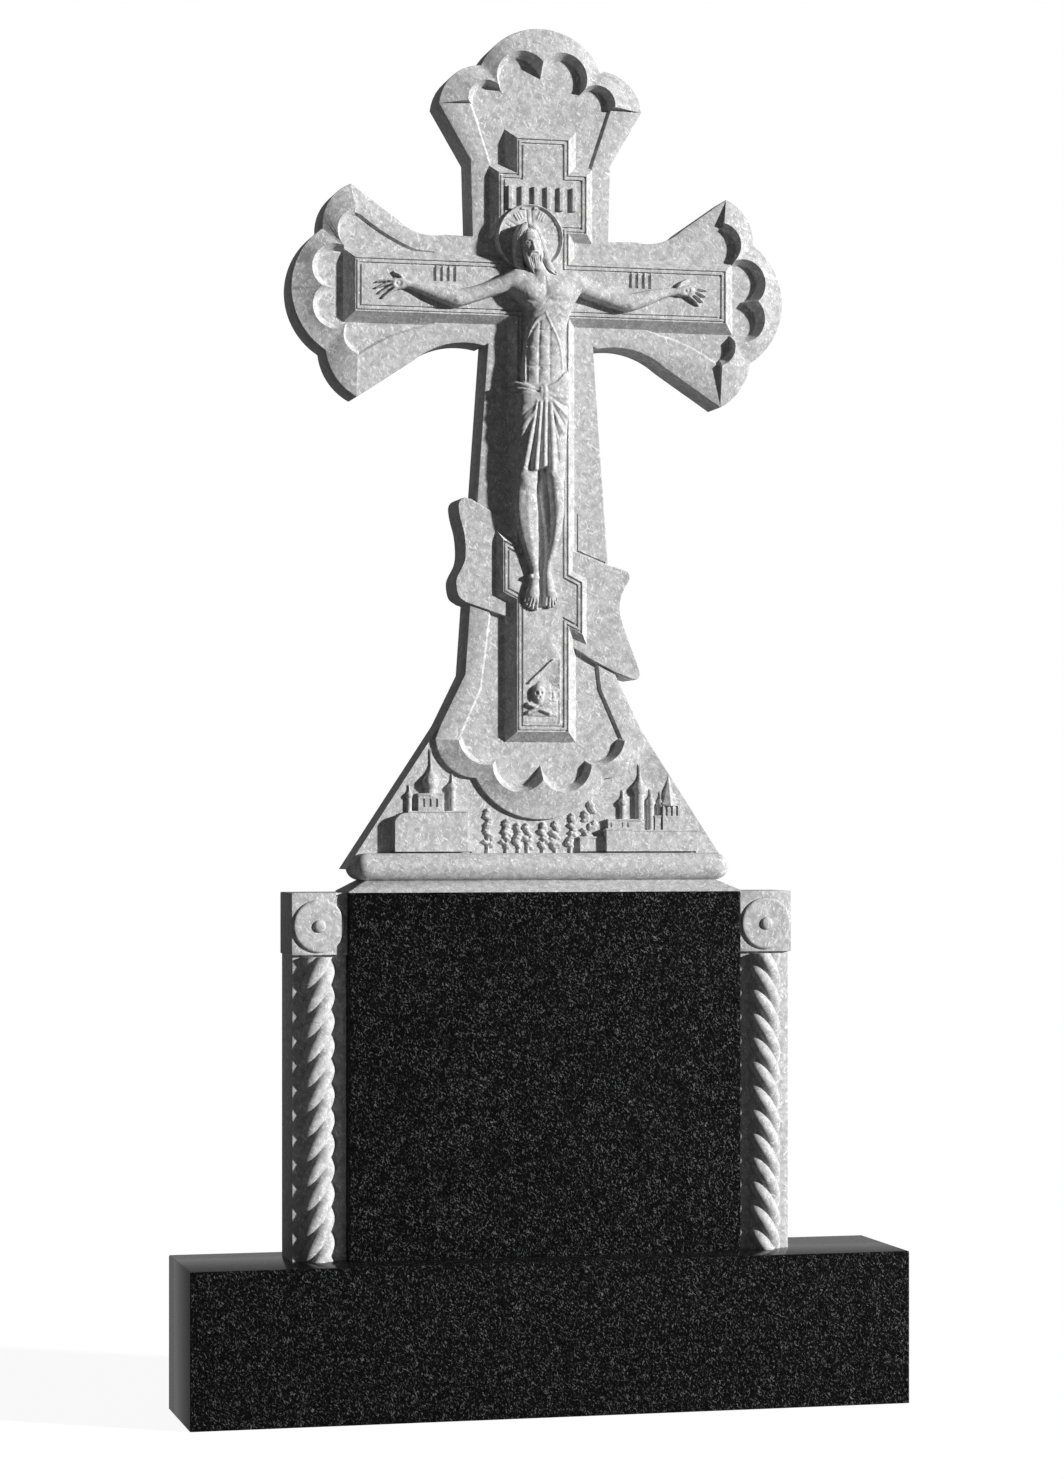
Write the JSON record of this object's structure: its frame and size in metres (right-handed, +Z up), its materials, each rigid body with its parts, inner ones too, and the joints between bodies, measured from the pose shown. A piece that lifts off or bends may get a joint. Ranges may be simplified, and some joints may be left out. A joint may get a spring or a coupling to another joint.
{
  "type": "orthodox cross headstone",
  "caption": "Carved stone cross with a relief figure, standing on a polished name block between rope-carved pilasters on a plinth, to mark a grave.",
  "frame": {"origin": "middle of the plinth's underside, on the ground", "axes": "+Z up, +Y towards the back of the stone, +X to the viewer's right when facing the front; the carved front faces -Y"},
  "size_m": [1, 0.2, 1.893],
  "materials": {
    "black_granite": "polished",
    "grey_granite": "honed"
  },
  "bodies": {
    "root": {"plinth": "black_granite", "name_block": "black_granite", "left_pilaster": "grey_granite", "right_pilaster": "grey_granite", "cross": "grey_granite"}
  },
  "joints": []
}
